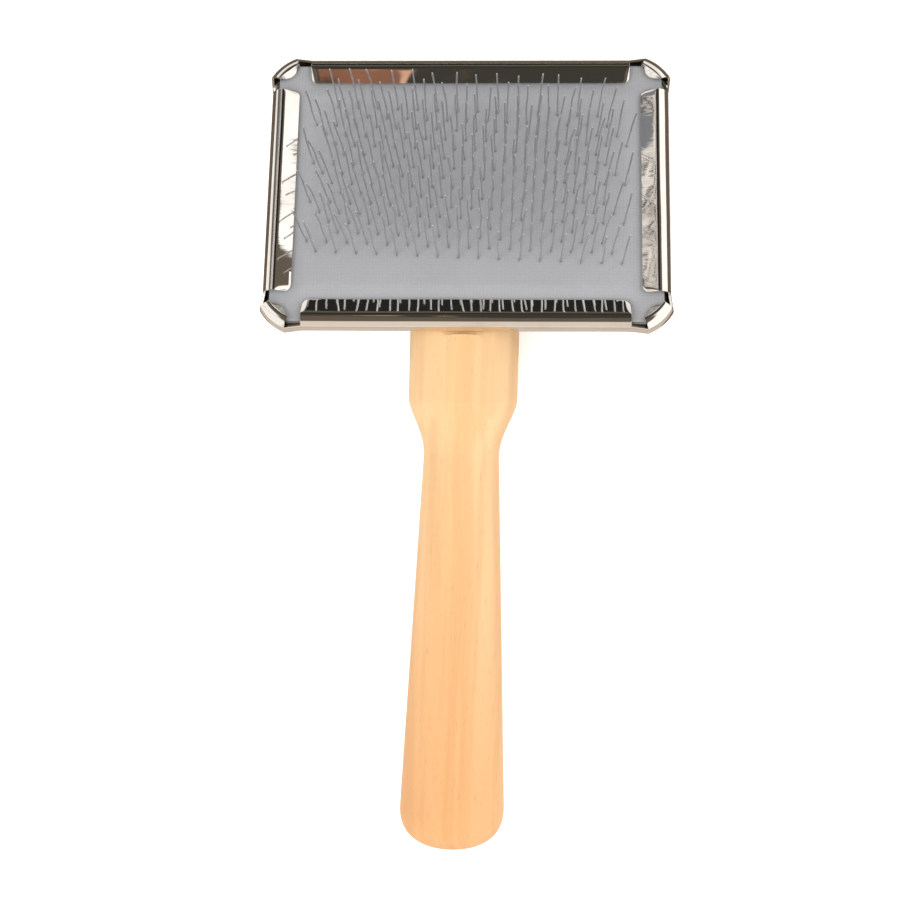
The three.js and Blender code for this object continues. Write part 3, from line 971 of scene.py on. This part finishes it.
def make_surround():
    """The light around the stage: patches of bright and dark, laid out by direction."""
    world = bpy.data.worlds.new("studio")
    bpy.context.scene.world = world
    world.use_nodes = True
    nodes = Nodes(world.node_tree)
    way = nodes.add("ShaderNodeTexCoord").outputs["Generated"]
    parts = nodes.add("ShaderNodeSeparateXYZ", {"Vector": way}).outputs
    azimuth = nodes.math("ARCTAN2", parts["Y"], parts["X"])
    azimuth = nodes.math("MULTIPLY", azimuth, 180 / math.pi)
    height = nodes.math("ARCSINE", parts["Z"])
    height = nodes.math("MULTIPLY", height, 180 / math.pi)
    blotch = nodes.noise(way, scale=130, detail=1, roughness=0.5)
    mottle = nodes.mix(
        nodes.smooth(blotch, 0.44, 0.54), (0.12, 0.12, 0.125, 1), (1.25, 1.2, 1.15, 1)
    )

    # Azimuth from and to (0 on the right, 90 on the far side), height from and to, the softness
    # of the edges, all in degrees, and the colour. A later patch covers an earlier one.
    patches = (
        (-70, 70, -10, 38.4, 0.45, grey(1.6)),
        (-70, 58, 38, 60, 3, grey(1.6)),
        (143, 181, -10, 60, 4, grey(1.3)),
        (-181, -125, -10, 60, 6, grey(1.3)),
        (-130, -65, -10, 56, 5, (1.0, 0.9, 0.8, 1)),
        (108, 131, 24, 44, 1.5, mottle),
        (108, 131, 24, 34.4, 0.3, (0.28, 0.3, 0.34, 1)),
        (68, 84, -10, 34, 1.5, grey(1.2)),
        (84, 108, -10, 50, 1.5, grey(0.025)),
        (84, 108, 20, 38, 2, (0.15, 0.135, 0.105, 1)),
        (101, 128, -10, 22, 1.5, grey(1.2)),
        (70, 111, 50, 95, 2, (0.065, 0.063, 0.055, 1)),
        (99.8, 107.5, 66.8, 71.5, 0.8, (0.36, 0.17, 0.11, 1)),
        (99.8, 102.8, 67.2, 71.5, 0.4, (1.0, 0.6, 0.42, 1)),
    )
    colour = SURROUND
    for left, right, low, high, soft, tint in patches:
        wide = nodes.between(azimuth, left, right, soft)
        tall = nodes.between(height, low, high, soft)
        colour = nodes.mix(nodes.math("MULTIPLY", wide, tall), colour, tint)
    background = nodes.add(
        "ShaderNodeBackground", {"Color": colour, "Strength": 1.0}
    ).outputs["Background"]
    nodes.add("ShaderNodeOutputWorld", {"Surface": background})


def flat_sheet(name, half, near, far):
    """A level rectangle, half to each side and from near to far."""
    mesh = bpy.data.meshes.new(name)
    corners = [(-half, near, 0), (half, near, 0), (half, far, 0), (-half, far, 0)]
    mesh.from_pydata(corners, [], [(0, 1, 2, 3)])
    return add_to_scene(name, mesh)


def make_floor():
    floor = flat_sheet("floor", FLOOR_HALF, -FLOOR_HALF, FLOOR_HALF)
    nodes = stage_material(floor, "floor_white")
    shader = nodes.add(
        "ShaderNodeBsdfPrincipled",
        {
            "Base Color": grey(0.88),
            "Roughness": 0.9,
            "Emission Color": grey(1.0),
            "Emission Strength": 0.3,
        },
    )
    nodes.add("ShaderNodeOutputMaterial", {"Surface": shader.outputs["BSDF"]})


def make_card(name, near, far, colour):
    """A sheet just above the floor that only reflections see."""
    card = flat_sheet(name, CARD_HALF, near, far)
    card.location.z = CARD_HEIGHT * MM
    make_glow(card, name, colour)
    for kind in ("camera", "diffuse", "transmission", "volume_scatter", "shadow"):
        setattr(card, f"visible_{kind}", False)


def make_backdrop():
    """A white dome that only the camera sees."""
    mesh = bpy.data.meshes.new("backdrop")
    shape = bmesh.new()
    bmesh.ops.create_uvsphere(
        shape, u_segments=32, v_segments=16, radius=BACKDROP_RADIUS
    )
    shape.to_mesh(mesh)
    shape.free()
    dome = add_to_scene("backdrop", mesh)
    make_glow(dome, "backdrop_white", grey(0.96))
    for kind in ("diffuse", "glossy", "transmission", "volume_scatter", "shadow"):
        setattr(dome, f"visible_{kind}", False)


def add_light(name, place, size, power):
    """A square soft light that faces the brush and shows in no reflection."""
    light = bpy.data.lights.new(name, "AREA")
    light.size = size
    light.energy = power
    lamp = add_to_scene(name, light)
    lamp.location = place
    lamp.rotation_mode = "QUATERNION"
    lamp.rotation_quaternion = (-Vector(place)).to_track_quat("-Z", "Y")
    lamp.visible_glossy = False
    lamp.visible_camera = False


def make_studio():
    make_surround()
    make_floor()
    make_card("dark_card", near=0.02, far=0.45, colour=(0.19, 0.15, 0.115, 1))
    make_card("pale_card", near=-0.4, far=0.02, colour=(0.82, 0.72, 0.64, 1))
    make_backdrop()
    add_light("key_light", (-0.5, -0.35, 1.5), size=1.4, power=24)
    add_light("fill_light", (0.7, 0.3, 1.3), size=1.2, power=6)


def make_camera():
    data = bpy.data.cameras.new("camera")
    data.lens = 85
    data.sensor_width = 36
    camera = add_to_scene("camera", data)
    camera.location = CAMERA_PLACE
    camera.rotation_euler = [math.radians(a) for a in CAMERA_TURN]
    bpy.context.scene.camera = camera


make_tray()
make_pad()
make_pin_rows()
make_handle()
dress_hidden_nodes()
make_studio()
make_camera()
bpy.context.scene.view_settings.view_transform = "Standard"
